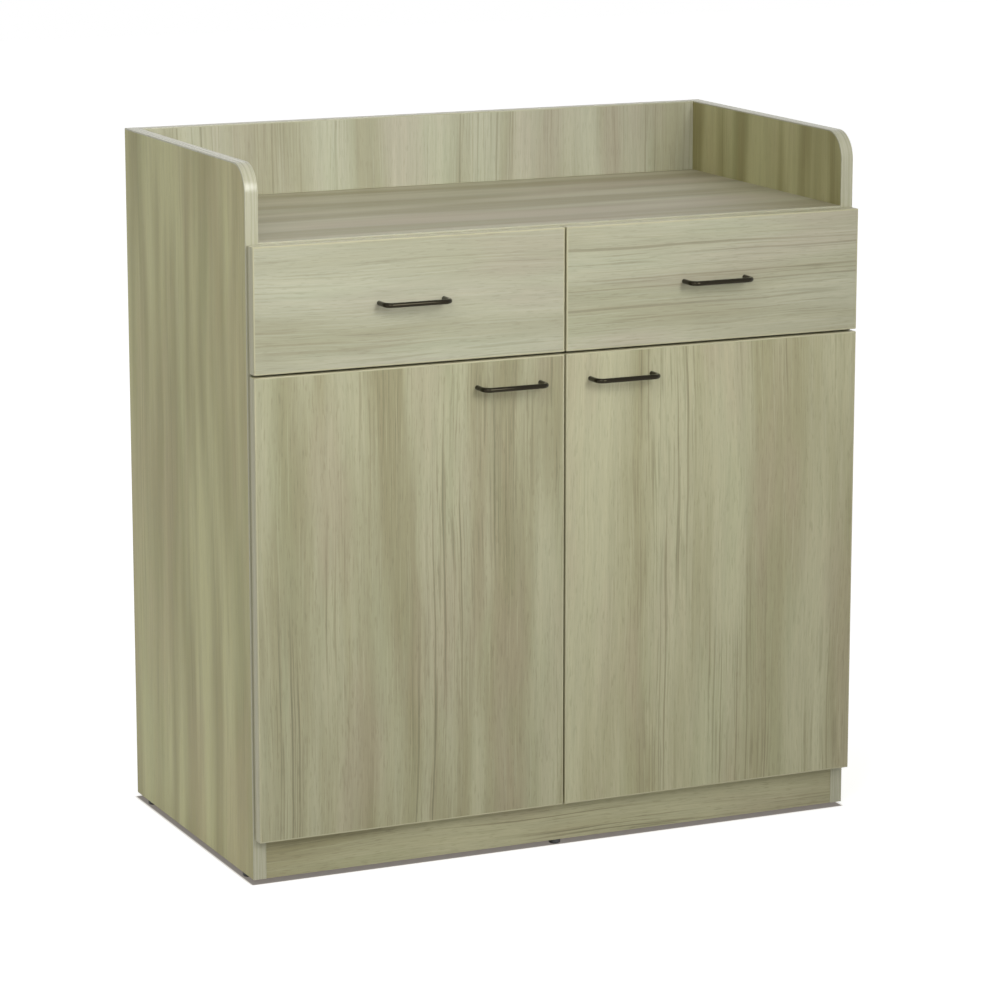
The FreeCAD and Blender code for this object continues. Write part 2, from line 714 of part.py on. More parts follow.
def bow_handle(label, x, z, seat, head_y):
    """A bow of round bar on two posts, and its two screws, through to head_y behind the board."""
    reach = d.handle_reach - d.handle_rod - d.handle_bend
    first = x - d.handle_centres / 2
    last = x + d.handle_centres / 2
    turn_y = seat - reach
    pieces = [rod(f"{label}_bar", (first + d.handle_bend, turn_y - d.handle_bend, z), "x",
                  d.handle_rod, d.handle_centres - d.handle_bend * 2)]
    screws, holes = [], []
    for name, post_x, bend_x, angle in (("first", first, first + d.handle_bend, 180),
                                        ("last", last, last - d.handle_bend, 270)):
        pieces.append(rod(f"{label}_post_{name}", (post_x, turn_y, z), "y", d.handle_rod, reach))
        bend = doc.addObject("Part::Torus", f"{label}_bend_{name}")
        bind(bend, Radius1=d.handle_bend, Radius2=d.handle_rod, Angle3=90)
        place(bend, (bend_x, turn_y, z), Rotation(AXES["z"], angle))
        pieces.append(bend)
        tip = seat - d.handle_thread
        shank = rod(f"{label}_shank_{name}", (post_x, tip, z), "y", d.handle_screw, head_y - tip)
        head = rod(f"{label}_head_{name}", (post_x, head_y, z), "y", d.handle_screw * 2,
                   d.handle_screw * 1.2)
        screws.append(fused(f"{label}_screw_{name}", [shank, head]))
        holes.append(rod(f"{label}_hole_{name}", (post_x, tip, z), "y", d.handle_screw + FIT,
                         head_y - tip))
    bow = cut(f"{label}_drilled", fused(f"{label}_bow", pieces), holes)
    return bow, screws, holes


meeting = -d.door_gap / 2                                              # left door's free edge
front_right = -d.drawer_gap / 2                                        # left drawer's inner edge
box_left = inside + d.slide_width
box_right = middle - d.slide_width
box_back = back_face - d.box_clearance
end_inner = door_back + d.box_board
halves = {}                       # node names without their side, drawn on the left

door_board, door_edging = banded("door", (front_left, door_face, door_low),
                                 (meeting, door_back, door_top))
bow, door_screws, holes = bow_handle(
    "door_handle", meeting - d.handle_inset - d.handle_centres / 2, door_top - d.handle_inset,
    door_face, door_back)
drill("door_panel", *holes)
bumpers = []
for name, z in (("low", door_low + d.bumper_inset), ("high", door_top - d.bumper_inset)):
    bumpers.append(rod(f"bumper_{name}", (meeting - d.bumper_radius - 0.5, door_back, z), "y",
                       d.bumper_radius, d.bumper_height))
halves["door_panel"] = drilled("door_panel", door_board)
halves["door_edging"] = door_edging
halves["door_handle"] = bow
halves["hinge_cups"] = together("cups", hinge_pieces["cups"])
halves["door_screws"] = together("door_screws", door_screws + hinge_pieces["cup_screws"])
halves["door_bumpers"] = together("bumpers", bumpers)
halves["outer_hinge_links"] = together("outer_links", hinge_pieces["outer"])
halves["inner_hinge_links"] = together("inner_links", hinge_pieces["inner"])

drawer_board, drawer_edging = banded("drawer", (front_left, door_face, drawer_low),
                                     (front_right, door_back, fronts_top))
bow, handle_screws, holes = bow_handle(
    "drawer_handle", (front_left + front_right) / 2, (drawer_low + fronts_top) / 2,
    door_face, end_inner)
drill("drawer_front", *holes)
drill("box_ends", *holes)
drawer_screws += handle_screws
screw_heights = (("low", box_low + d.box_screw_inset), ("high", box_top - d.box_screw_inset))
for level, z in screw_heights:
    for side, x in (("left", box_left + d.front_screw_inset), ("right", box_right - d.front_screw_inset)):
        made, hole = screw(f"front_screw_{level}_{side}", (x, end_inner, z), "y", -1,
                           d.front_screw)
        drawer_screws.append(made)
        drill("box_ends", hole)
        drill("drawer_front", hole)
    for side, x, sign in (("left", box_left, 1), ("right", box_right, -1)):
        for end, y in (("front", door_back + d.box_board / 2), ("back", box_back - d.box_board / 2)):
            made, hole = screw(f"corner_screw_{level}_{side}_{end}", (x, y, z), "x", sign,
                               d.corner_screw)
            drawer_screws.append(made)
            drill("box_sides", hole)
            drill("box_ends", hole)
bottom_z = box_low + d.bottom_rise
inner_left = box_left + d.box_board
inner_right = box_right - d.box_board
bottom = box("drawer_bottom", (inner_left - d.bottom_groove, end_inner - d.bottom_groove, bottom_z),
             (inner_right + d.bottom_groove, box_back - d.box_board + d.bottom_groove,
              bottom_z + d.bottom_board))
drill("box_sides", bottom)
drill("box_ends", bottom)
sides = together("box_side_boards", [
    box("box_side_outer", (box_left, door_back, box_low), (inner_left, box_back, box_top)),
    box("box_side_inner", (inner_right, door_back, box_low), (box_right, box_back, box_top)),
])
box_ends = together("box_end_boards", [
    box("box_end_front", (inner_left, door_back, box_low), (inner_right, end_inner, box_top)),
    box("box_end_back", (inner_left, box_back - d.box_board, box_low),
        (inner_right, box_back, box_top)),
])
halves["drawer_front"] = drilled("drawer_front", drawer_board)
halves["drawer_front_edging"] = drawer_edging
halves["drawer_handle"] = bow
halves["drawer_box_sides"] = drilled("box_sides", sides)
halves["drawer_box_ends"] = drilled("box_ends", box_ends)
halves["drawer_bottom"] = bottom
halves["drawer_screws"] = together("drawer_screws", drawer_screws)
halves["slide_drawer_members"] = together("drawer_members", drawer_members)
halves["slide_middle_members"] = together("middle_members", middle_members)


# ---------------------------------------------------------------- boards of the carcass

def strip(label, low, high):
    """A straight strip of edging with its two long front edges rounded."""
    thing = box(label, low, high)
    y = float(low[1])
    return rounded(f"{label}_rounded", thing, d.edging_round,
                   lambda first, last: abs(first.y - y) < 0.01 and abs(last.y - y) < 0.01
                   and abs(first.z - last.z) < 0.01)


def side_blank(label, inset):
    """A side panel's outline, its front and top drawn in by an inset, with the gallery corner."""
    blank = box(f"{label}_square", (left, front + inset, floor), (inside, back, d.cabinet_height - inset))
    y, z = float(front + inset), float(d.cabinet_height - inset)
    return rounded(label, blank, d.gallery_radius - inset,
                   lambda first, last: max(abs(first.y - y), abs(last.y - y), abs(first.z - z),
                                           abs(last.z - z)) < 0.01)


side_board = side_blank("side_board", d.edging)
side_ring = cut("side_ring", side_blank("side_outline", 0), [side_board])
outer_edge = (float(front), float(d.cabinet_height))


def on_outline(first, last):
    """True for a long edge of the side panel's edging, on its outer surface."""
    same_face = any(abs(first.x - float(x)) < 0.01 and abs(last.x - float(x)) < 0.01
                    for x in (left, inside))
    return same_face and all(abs(point.y - outer_edge[0]) < 0.01 or abs(point.z - outer_edge[1]) < 0.01
                             for point in (first, last))


halves["side_edging"] = rounded("side_strip", side_ring, d.edging_round, on_outline)
halves["side_panel"] = drilled("side_panel", side_board)

first_board = front + d.inner_edging
divider = box("divider", (inside, first_board, divider_low), (middle, back_face, divider_top))
halves["divider_shelf"] = drilled("divider_shelf", divider)
shelf_front = front + d.shelf_setback
shelf_ends = (inside + d.shelf_play, middle - d.shelf_play)
halves["adjustable_shelf"] = box(
    "adjustable_shelf", (shelf_ends[0], shelf_front + d.inner_edging, shelf_low),
    (shelf_ends[1], back_face - d.shelf_play, shelf_low + d.board))
inner_strips = together("inner_strips", [
    box("divider_strip", (inside, front, divider_low), (middle, first_board, divider_top)),
    box("shelf_strip", (shelf_ends[0], shelf_front, shelf_low),
        (shelf_ends[1], shelf_front + d.inner_edging, shelf_low + d.board)),
])
node("inner_edging_strips", together("inner_edging_strips", both("strips", inner_strips) + [
    box("partition_strip", (middle, front, base_top), (-middle, first_board, worktop_low)),
    box("base_strip", (inside, front, base_low), (-inside, first_board, base_top)),
]))

worktop = box("worktop_blank", (inside, front + d.edging, worktop_low),
              (-inside, back_face, d.worktop_height))
node("worktop", drilled("worktop", worktop, shared=True))
node("worktop_edging", strip("worktop_strip", (inside, front, worktop_low),
                             (-inside, front + d.edging, d.worktop_height)))
base = box("base_blank", (inside, first_board, base_low), (-inside, back_face, base_top))
node("base_panel", drilled("base_panel", base, shared=True))
plinth_face = front + d.plinth_recess
plinth = box("plinth_blank", (inside, plinth_face, floor), (-inside, plinth_face + d.board, base_low))
node("plinth", drilled("plinth", plinth, shared=True))
gallery_low = d.cabinet_height - d.edging
back_board = box("back_blank", (inside, back_face, floor), (-inside, back, gallery_low))
node("back_panel", drilled("back_panel", back_board, shared=True))
back_strip = box("back_strip", (inside, back_face, gallery_low), (-inside, back, d.cabinet_height))
node("back_edging", rounded("back_strip_rounded", back_strip, d.edging_round, lambda first, last:
     min(first.z, last.z) > float(d.cabinet_height) - 0.01 and abs(first.y - last.y) < 0.01))
partition = box("partition_blank", (middle, first_board, base_top), (-middle, back_face, worktop_low))
node("centre_partition", drilled("centre_partition", partition, shared=True))

node("cam_locks", together("cam_locks", both("cams", together("cams", cams))))
node("cam_bolts", together("cam_bolts", both("bolts", together("bolts", bolts))))
left_dowels = together("left_dowels", dowels)
node("dowels", together("dowels", both("left_dowels", left_dowels) + middle_dowels))
node("slide_screws", together("slide_screws", both("slide_screws_left", together(
    "slide_screws_left", slide_screws))))

for name, thing in halves.items():
    node(f"{name}_left", thing)
    node(f"{name}_right", mirrored(f"{name}_copy", thing))


# ---------------------------------------------------------------- checks and files

doc.recompute()
failed = [thing.Name for thing in doc.Objects if {"Invalid", "Error"} & set(thing.State)]
failed += [label for label, thing in parts.items() if thing.Shape.isNull() or not thing.Shape.isValid()]
if failed:
    raise RuntimeError("failed objects: " + ", ".join(failed))

os.makedirs("parts", exist_ok=True)
for label, thing in parts.items():
    thing.Shape.exportStep(os.path.join("parts", f"{label}.step"))
print(len(parts), "sub-parts")
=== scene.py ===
import math
from collections import namedtuple

import bpy
import numpy as np
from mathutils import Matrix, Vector


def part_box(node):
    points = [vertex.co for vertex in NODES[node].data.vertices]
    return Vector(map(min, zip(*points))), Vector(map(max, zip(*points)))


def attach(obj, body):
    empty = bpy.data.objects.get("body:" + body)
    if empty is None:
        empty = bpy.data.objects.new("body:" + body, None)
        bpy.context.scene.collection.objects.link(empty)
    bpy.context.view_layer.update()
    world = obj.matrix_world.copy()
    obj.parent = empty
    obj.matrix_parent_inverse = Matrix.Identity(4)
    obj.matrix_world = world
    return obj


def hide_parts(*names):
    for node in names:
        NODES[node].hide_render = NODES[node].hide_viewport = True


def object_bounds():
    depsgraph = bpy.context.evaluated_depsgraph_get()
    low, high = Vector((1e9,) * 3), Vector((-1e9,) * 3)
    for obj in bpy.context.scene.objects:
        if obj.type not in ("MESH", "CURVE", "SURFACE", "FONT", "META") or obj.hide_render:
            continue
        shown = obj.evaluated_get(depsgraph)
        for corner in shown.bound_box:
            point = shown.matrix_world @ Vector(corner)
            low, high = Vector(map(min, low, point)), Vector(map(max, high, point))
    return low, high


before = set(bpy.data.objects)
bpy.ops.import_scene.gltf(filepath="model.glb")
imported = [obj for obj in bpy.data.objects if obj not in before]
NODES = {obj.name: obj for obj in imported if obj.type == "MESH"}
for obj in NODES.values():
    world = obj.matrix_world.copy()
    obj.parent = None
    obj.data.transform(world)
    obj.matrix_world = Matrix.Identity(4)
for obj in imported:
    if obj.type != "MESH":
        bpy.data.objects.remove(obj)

bl_info = {
    "name": "Waiter Service Station",
    "version": (1, 0, 0),
    "blender": (4, 5, 0),
    "location": "3D View > Sidebar > Station",
    "description": "Dresses a laminated service station with edging, fittings, finishes and a studio",
    "category": "Object",
}

MM = 0.001
AXES = "XYZ"
SIDES = ("left", "right")
NEAR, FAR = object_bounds()

# ------------------------------------------------------------------ settings


def number(name, about, default, **more):
    """A number, an angle or a power that a user can change."""
    return bpy.props.FloatProperty(name=name, description=about, default=default, **more)


def length(name, about, default):
    """A length that a user can change, in metres."""
    return number(name, about, default, min=0.0, unit="LENGTH", precision=5)


def tint(name, about, red, green, blue):
    """A colour that a user can change, given in the 0 to 255 steps of a paint chart.

    The steps follow the usual screen curve, and the setting keeps them as amounts of light.
    """
    steps = np.array((red, green, blue)) / 255
    linear = np.where(steps > 0.04045, ((steps + 0.055) / 1.055) ** 2.4, steps / 12.92)
    return bpy.props.FloatVectorProperty(
        name=name, description=about, default=tuple(linear), subtype="COLOR", size=3, min=0.0, max=1.0
    )


class StationSizes(bpy.types.PropertyGroup):
    """Sizes of the trim and the fittings that the boards carry."""

    strip: length("Edging", "Thickness of the plastic edging", 2 * MM)
    strip_round: length("Edging round", "Rounding of the edging's long edges", 1 * MM)
    corner_round: length("Corner round", "Rounding where two strips of edging meet", 0.8 * MM)
    gallery_round: length("Gallery corner", "Radius of the gallery's front corners", 40 * MM)
    rod: length("Handle rod", "Radius of the handles' round bar", 3.5 * MM)
    bend: length("Handle bend", "Radius of the handles' bends, on the bar's centre line", 10 * MM)


class StationColours(bpy.types.PropertyGroup):
    """Colours of the boards, the edging and the metal."""

    pale: tint("Pale wood", "Lightest bands of the laminate", 190, 189, 160)
    mid: tint("Wood", "Usual colour of the laminate", 171, 168, 136)
    dark: tint("Dark wood", "Darkest bands of the laminate", 150, 145, 112)
    warm: tint("Warm wood", "Pinkish grey clouds in the laminate", 172, 161, 137)
    green: tint("Green wood", "Greenish clouds in the laminate", 164, 169, 134)
    vein: tint("Vein", "Thin lines of the grain", 112, 105, 76)
    edging: tint("Edging", "Plastic edging of the carcass", 175, 173, 148)
    # Painted light: the fronts' edging is a lighter, less blue copy of the carcass edging, which lifts its
    # shaded side faces.
    front_edging: tint("Front edging", "Plastic edging round doors and drawer fronts", 186, 182, 151)
    box: tint("Drawer box", "Boards of the drawer boxes", 226, 224, 216)
    handle: tint("Handle", "Dark plating of the handles", 33, 28, 9)
    slide: tint("Slide", "Plating of the drawer slides", 190, 192, 196)


class StudioSettings(bpy.types.PropertyGroup):
    """Camera and light of the studio."""

    azimuth: number(
        "Azimuth", "Camera's angle round the cabinet, from its front", math.radians(-24.637),
        subtype="ANGLE",
    )
    elevation: number(
        "Elevation", "Camera's angle above the floor", math.radians(11.967), subtype="ANGLE"
    )
    distance: length("Distance", "From the camera to the point that it looks at", 5.7075)
    focal: number("Lens", "Focal length of the camera", 141.014, unit="CAMERA")
    aim: bpy.props.FloatVectorProperty(
        name="Aim", description="Point that the camera looks at", default=(0.00757, 0.0, 0.46187),
        subtype="TRANSLATION", size=3,
    )
    key: number("Key light", "Power of the softbox before the cabinet", 9.1, unit="POWER")
    fill: number("Fill light", "Power of the softbox before its left side", 5.0, unit="POWER")
    sky: number("Room light", "Strength of the even room light", 0.38, min=0.0)


# ------------------------------------------------------------------ surfaces

SHARP = math.radians(35)  # an edge that turns by more than this isn't shaded smooth
ROUND_STEPS = 6  # faces across the rounding of a strip's long edge
CORNER_POINTS = 7  # points of a ring's rounded corner
CORNER_BACK = 0.15  # share of that corner's radius that the strip has at its back
GALLERY_STEPS = 24  # faces along a side strip's gallery corner
BEND_STEPS = 14  # faces along a handle's bend
BAR_STEPS = 32  # faces round a handle's bar


def mesh_piece(name, points, faces):
    """A mesh object from whole arrays of points and faces, smooth except at sharp edges."""
    mesh = bpy.data.meshes.new(name)
    mesh.from_pydata(points.reshape(-1, 3).tolist(), [], faces)
    mesh.shade_smooth()
    mesh.set_sharp_from_angle(angle=SHARP)
    piece = bpy.data.objects.new(name, mesh)
    bpy.context.scene.collection.objects.link(piece)
    return piece


def quads(rows, columns, closed):
    """Faces of a grid: cell (i, j) joins points i, j to i + 1, j + 1.

    The last column joins the first, and so does the last row where closed says so.
    """
    i = np.arange(rows if closed else rows - 1)[:, None]
    j = np.arange(columns)[None, :]
    after_i = (i + 1) % rows
    after_j = (j + 1) % columns
    cell = [i * columns + j, i * columns + after_j, after_i * columns + after_j, after_i * columns + j]
    return np.stack(np.broadcast_arrays(*cell), axis=-1).reshape(-1, 4).tolist()


def arc(centre, radius, start, stop, steps):
    """Points of an arc in a plane: centre + radius * (cos t, sin t), t in equal steps, in degrees."""
    turn = np.radians(np.linspace(start, stop, steps + 1))
    return np.array(centre) + radius * np.stack([np.cos(turn), np.sin(turn)], axis=1)


def carry(name, profile, places, across, out):
    """A closed profile carried along a path: point (i, j) = places[i] + a[j] * across[i] + b[j] * out[i].

    One face closes each end.
    """
    grid = (places[:, None, :] + profile[None, :, :1] * across[:, None, :]
            + profile[None, :, 1:] * out[:, None, :])
    rows, columns = grid.shape[:2]
    ends = [list(range(columns))[::-1], list(range((rows - 1) * columns, rows * columns))]
    return mesh_piece(name, grid, quads(rows, columns, False) + ends)


def strip_profile(width, thickness, radius):
    """Section of an edging strip: a flat back, and a face whose two long edges are quarter rounds."""
    half = width / 2
    return np.concatenate([
        [(-half, 0.0)],
        arc((-half + radius, thickness - radius), radius, 180, 90, ROUND_STEPS),
        arc((half - radius, thickness - radius), radius, 90, 0, ROUND_STEPS),
        [(half, 0.0)],
    ])


# ------------------------------------------------------------------ materials

Layer = namedtuple("Layer", "across along detail rough start full strength", defaults=(None, None, None))

# Layers of the laminate's print. Each is a noise: how often it changes in a metre across the grain
# and along it, its detail and its roughness. It begins to show where the noise is at its start level,
# and is whole at its full level. Its strength is the share of the wood's colour that it takes, but
# for streaks and fibres the share by which they lighten and darken the wood, and for the wave and the
# ripple how far they bend the grain, in metres.
PRINT = {
    "wave": Layer(4.0, 1.8, 1.0, 0.5, strength=0.03),
    "ripple": Layer(30.0, 8.0, 2.0, 0.5, strength=0.004),
    "bands": Layer(17.0, 1.3, 2.0, 0.5, 0.36, 0.64),
    "clouds": Layer(12.0, 2.4, 2.0, 0.5, 0.46, 0.66, 0.45),
    "greens": Layer(16.0, 2.6, 2.0, 0.5, 0.50, 0.68, 0.25),
    "streaks": Layer(120.0, 3.0, 3.0, 0.6, 0.25, 0.75, 0.045),
    "fibres": Layer(560.0, 20.0, 3.0, 0.6, 0.25, 0.75, 0.08),
    "patches": Layer(13.0, 1.6, 1.0, 0.5, 0.42, 0.60),
    "glints": Layer(460.0, 6.0, 0.0, 0.5, 0.62, 0.74, 0.32),
    "dashes": Layer(380.0, 7.0, 0.0, 0.5, 0.60, 0.72, 0.38),
    "lines": Layer(280.0, 0.9, 0.0, 0.5, 0.68, 0.76, 0.6),
    "pores": Layer(700.0, 50.0, 1.0, 0.5, 0.58, 0.70, 0.26),
}
NOISE_MIDDLE = 0.5
TONE_LEVELS = (0.25, 0.75)  # levels of a plain finish's noise at its darkest and its lightest
ROUGH_LEVELS = (0.2, 0.8)  # levels of a finish's noise at its smoothest and its roughest
ROUGH_SWING = 0.15  # share by which a plain finish is smoother or rougher there
COAT_ROUGH = 0.06
LAMINATE_ROUGH = (0.44, 0.54)
LAMINATE_GLOSS = 0.38
LAMINATE_DEPTH = 0.06 * MM  # depth of the pores pressed into the laminate
LAMINATE_RELIEF = 0.5  # how strongly that depth shows
STREAK_LENGTH = 50.0  # length of the streaks in the edging, in widths of a streak

MIX_COLOURS = (6, 7)  # the Mix node's inputs that are its two colours
MIX_RESULT = 2  # its output that is a colour

BEECH = (0.55, 0.36, 0.19)
BLACK_PLASTIC = (0.045, 0.045, 0.045)
CLEAR_RUBBER = (0.62, 0.62, 0.6)


class Paint:
    """The node tree of a material or of the room, with short calls for its usual nodes."""

    def __init__(self, owner, shader="Principled BSDF"):
        owner.use_nodes = True
        self.owner = owner
        self.tree = owner.node_tree
        self.shader = self.tree.nodes[shader]

    def feed(self, socket, value):
        """Links a socket into another, or sets it to a plain value."""
        if isinstance(value, bpy.types.NodeSocket):
            self.tree.links.new(value, socket)
        else:
            socket.default_value = value

    def give(self, **values):
        """Feeds the shader's own sockets. Their names are written with _ for a space."""
        for key, value in values.items():
            self.feed(self.shader.inputs[key.replace("_", " ")], value)

    def node(self, kind, *values, **settings):
        """A new node with its settings, and with what its first inputs are fed."""
        made = self.tree.nodes.new(kind)
        for key, setting in settings.items():
            setattr(made, key, setting)
        for socket, value in zip(made.inputs, values):
            self.feed(socket, value)
        return made

    def sum(self, operation, first, second):
        """Two numbers added, multiplied or compared, as operation says."""
        return self.node("ShaderNodeMath", first, second, operation=operation).outputs[0]

    def vector(self, operation, first, second=(0.0, 0.0, 0.0)):
        """The same for two points, or for one where the operation takes one."""
        made = self.node("ShaderNodeVectorMath", first, second, operation=operation)
        return made.outputs["Value" if operation == "LENGTH" else "Vector"]

    def point(self, x, y, z):
        """A point, or a colour, from three numbers."""
        return self.node("ShaderNodeCombineXYZ", x, y, z).outputs[0]

    def spread(self, value, low, high, to_low=0.0, to_high=1.0):
        """Stretches a value from low..high to to_low..to_high, eased at both ends."""
        made = self.node("ShaderNodeMapRange", value, low, high, to_low, to_high,
                         interpolation_type="SMOOTHSTEP")
        return made.outputs["Result"]

    def blend(self, amount, first, second, mode="MIX"):
        """Lays the second colour over the first by that amount."""
        made = self.node("ShaderNodeMix", amount, data_type="RGBA", blend_type=mode)
        for socket, value in zip(MIX_COLOURS, (first, second)):
            self.feed(made.inputs[socket], value)
        return made.outputs[MIX_RESULT]

    def place(self, shift=(0.0, 0.0, 0.0)):
        """Object coordinates, moved."""
        coordinates = self.node("ShaderNodeTexCoord").outputs["Object"]
        return self.node("ShaderNodeMapping", coordinates, shift).outputs["Vector"]

    def cloud(self, point, scale, detail, rough):
        """A noise between 0 and 1."""
        made = self.node("ShaderNodeTexNoise", point)
        self.feed(made.inputs["Scale"], scale)
        self.feed(made.inputs["Detail"], detail)
        self.feed(made.inputs["Roughness"], rough)
        return made.outputs["Fac"]

    def relief(self, height, distance, strength=1.0):
        """Makes the surface look as if height, from 0 to 1, rose from it by that distance."""
        made = self.node("ShaderNodeBump")
        self.feed(made.inputs["Height"], height)
        self.feed(made.inputs["Distance"], distance)
        self.feed(made.inputs["Strength"], strength)
        self.give(Normal=made.outputs["Normal"])

    def shown(self):
        """1 for a ray that shows the background, straight or through gloss or glass, and else 0."""
        rays = self.node("ShaderNodeLightPath").outputs
        straight_or_gloss = self.sum("MAXIMUM", rays["Is Camera Ray"], rays["Is Glossy Ray"])
        return self.sum("MAXIMUM", straight_or_gloss, rays["Is Transmission Ray"])


def colour(setting):
    """A colour as a socket takes it, with its fourth number."""
    return (*setting, 1.0)


def laminate(name, shift, along, across, tint_and_painted_light, crisp, calm):
    """Wood-print laminate. The print is a stack of noises drawn out along the grain.

    The coordinate across the grain is first bent by two slow noises, which gives the grain its
    waves. Bands, streaks and fibres are noises that change quickly across the grain and slowly
    along it. Glints, dashes, lines and pores are only the peaks of such noises; crisp says how
    strong they are. calm draws the bands towards one middle colour, and the board's tint colours the
    whole board: partly the print's own colour, and partly painted light and painted shade.
    """
    colours = bpy.context.scene.station_colours
    paint = Paint(bpy.data.materials.new(name))
    split = paint.node("ShaderNodeSeparateXYZ", paint.place(shift)).outputs
    run = split[along]
    side = split[across]
    deep = split[next(axis for axis in AXES if axis not in (along, across))]

    def drawn(kind, over):
        """A layer's noise, drawn out along the grain over that coordinate across it."""
        layer = PRINT[kind]
        point = paint.point(paint.sum("MULTIPLY", over, layer.across),
                            paint.sum("MULTIPLY", run, layer.along),
                            paint.sum("MULTIPLY", deep, layer.across))
        return paint.cloud(point, scale=1.0, detail=layer.detail, rough=layer.rough)

    def bow(kind):
        """How far a layer moves the grain to its side, in metres."""
        away = paint.sum("SUBTRACT", drawn(kind, side), NOISE_MIDDLE)
        return paint.sum("MULTIPLY", away, PRINT[kind].strength)

    def seen(kind, over):
        """How much of a layer shows, from 0 to 1."""
        return paint.spread(drawn(kind, over), PRINT[kind].start, PRINT[kind].full)

    def tone_of(kind, noise, amount):
        """How much a layer lightens or darkens the wood."""
        return paint.spread(noise, PRINT[kind].start, PRINT[kind].full, -amount, amount)

    bent = paint.sum("ADD", side, paint.sum("ADD", bow("wave"), bow("ripple")))
    peaks = {kind: seen(kind, bent) for kind in ("glints", "dashes", "lines", "pores")}
    patches = seen("patches", side)
    for kind in ("dashes", "lines"):
        peaks[kind] = paint.sum("MULTIPLY", peaks[kind], patches)

    wood = paint.blend(seen("bands", bent), colour(colours.dark), colour(colours.pale))
    wood = paint.blend(calm, wood, colour(colours.mid))
    for kind, ink in (("clouds", colours.warm), ("greens", colours.green)):
        wood = paint.blend(paint.sum("MULTIPLY", seen(kind, side), PRINT[kind].strength), wood, colour(ink))
    for kind, peak in peaks.items():
        ink = colours.pale if kind == "glints" else colours.vein
        wood = paint.blend(paint.sum("MULTIPLY", peak, PRINT[kind].strength * crisp), wood, colour(ink))

    fibres = drawn("fibres", bent)
    tone = paint.sum("ADD", tone_of("streaks", drawn("streaks", bent), PRINT["streaks"].strength),
                     tone_of("fibres", fibres, PRINT["fibres"].strength * crisp))
    tone = paint.sum("ADD", tone, 1.0)
    # The board's tint, which is partly painted light and painted shade.
    tints_and_painted_light = [paint.sum("MULTIPLY", tone, level) for level in tint_and_painted_light]
    paint.give(
        Base_Color=paint.blend(1.0, wood, paint.point(*tints_and_painted_light), "MULTIPLY"),
        Roughness=paint.spread(fibres, *ROUGH_LEVELS, *LAMINATE_ROUGH),
        Specular_IOR_Level=LAMINATE_GLOSS,
    )
    paint.relief(paint.sum("SUBTRACT", fibres, peaks["pores"]), LAMINATE_DEPTH, LAMINATE_RELIEF)
    return paint.owner


def plain(name, base, rough, mottle, scale, metallic=0.0, grain=None, relief=0.0, coat=0.0, gloss=0.5,
          clear=0.0):
    """A nearly even finish: a noise moves its colour and roughness a little.

    mottle is how far its colour moves, scale how often the noise changes in a metre, and grain how
    quickly along each of X, Y and Z, as in brushed or drawn metal. relief is its depth, in metres.
    """
    paint = Paint(bpy.data.materials.new(name))
    place = paint.place()
    if grain:
        place = paint.vector("MULTIPLY", place, grain)
    noise = paint.cloud(place, scale, detail=4.0, rough=0.6)
    tone = paint.spread(noise, *TONE_LEVELS, 1.0 - mottle, 1.0 + mottle)
    paint.give(
        Base_Color=paint.blend(1.0, colour(base), paint.point(tone, tone, tone), "MULTIPLY"),
        Roughness=paint.spread(noise, *ROUGH_LEVELS, rough * (1 - ROUGH_SWING), rough * (1 + ROUGH_SWING)),
        Metallic=metallic,
        Specular_IOR_Level=gloss,
        Coat_Weight=coat,
        Coat_Roughness=COAT_ROUGH,
        Transmission_Weight=clear,
    )
    if relief:
        paint.relief(noise, relief)
    return paint.owner


def wear(piece, material):
    """Gives a piece one material."""
    piece.data.materials.clear()
    piece.data.materials.append(material)


def finish(piece, body, material, node):
    """Puts a new piece on its body, in place of its CAD node, with its material."""
    wear(piece, material)
    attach(piece, body)
    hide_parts(node)


def strip_material(across, kind="edging", gloss=0.5):
    """Plastic edging printed to go with the laminate, made once for each direction.

    Its streaks change quickly across the strip and slowly along it.
    """
    name = f"{kind}_{across}"
    tone = getattr(bpy.context.scene.station_colours, kind)
    grain = [1.0 if axis == across else 1.0 / STREAK_LENGTH for axis in AXES]
    return bpy.data.materials.get(name) or plain(
        name, tone, rough=0.28, mottle=0.045, scale=420.0, grain=grain, gloss=gloss)


# ------------------------------------------------------------------ boards and edging

# Each board's direction along the grain, direction across it, tint, strength of the fine grain, and
# how far its bands are drawn towards one colour. The tints are partly the print's own colour and
# partly painted light and painted shade, most of all on the side panels.
INNER = ((1.0, 1.0, 1.0), 1.0, 0.3)
BOARDS = {
    # Painted light: the left side panel is tinted lighter, for its lit outer face.
    "side_panel_left": ("Z", "Y", (1.11, 1.09, 0.79), 0.5, 0.1),
    # Painted shade: the right side panel is tinted darker, for the shaded inside of the gallery.
    "side_panel_right": ("Z", "Y", (1.0, 0.98, 0.74), 0.5, 0.1),
    "back_panel": ("Z", "X", (0.98, 1.0, 1.1), 0.6, 0.5),
    "worktop": ("X", "Y", (0.93, 0.9, 0.95), 0.2, 0.35),
    "base_panel": ("X", "Y", *INNER),
    "plinth": ("X", "Z", (0.9, 0.88, 0.82), 1.0, 0.3),
    "centre_partition": ("Z", "Y", *INNER),
    "divider_shelf_left": ("X", "Y", *INNER),
    "divider_shelf_right": ("X", "Y", *INNER),
    "adjustable_shelf_left": ("X", "Y", *INNER),
    "adjustable_shelf_right": ("X", "Y", *INNER),
    "door_panel_left": ("Z", "X", (0.9, 0.89, 0.86), 0.85, 0.3),
    "door_panel_right": ("Z", "X", (1.02, 1.01, 0.98), 0.75, 0.5),
    "drawer_front_left": ("X", "Z", (0.99, 1.01, 1.11), 0.65, 0.55),
    "drawer_front_right": ("X", "Z", (1.01, 1.02, 1.11), 0.65, 0.62),
}
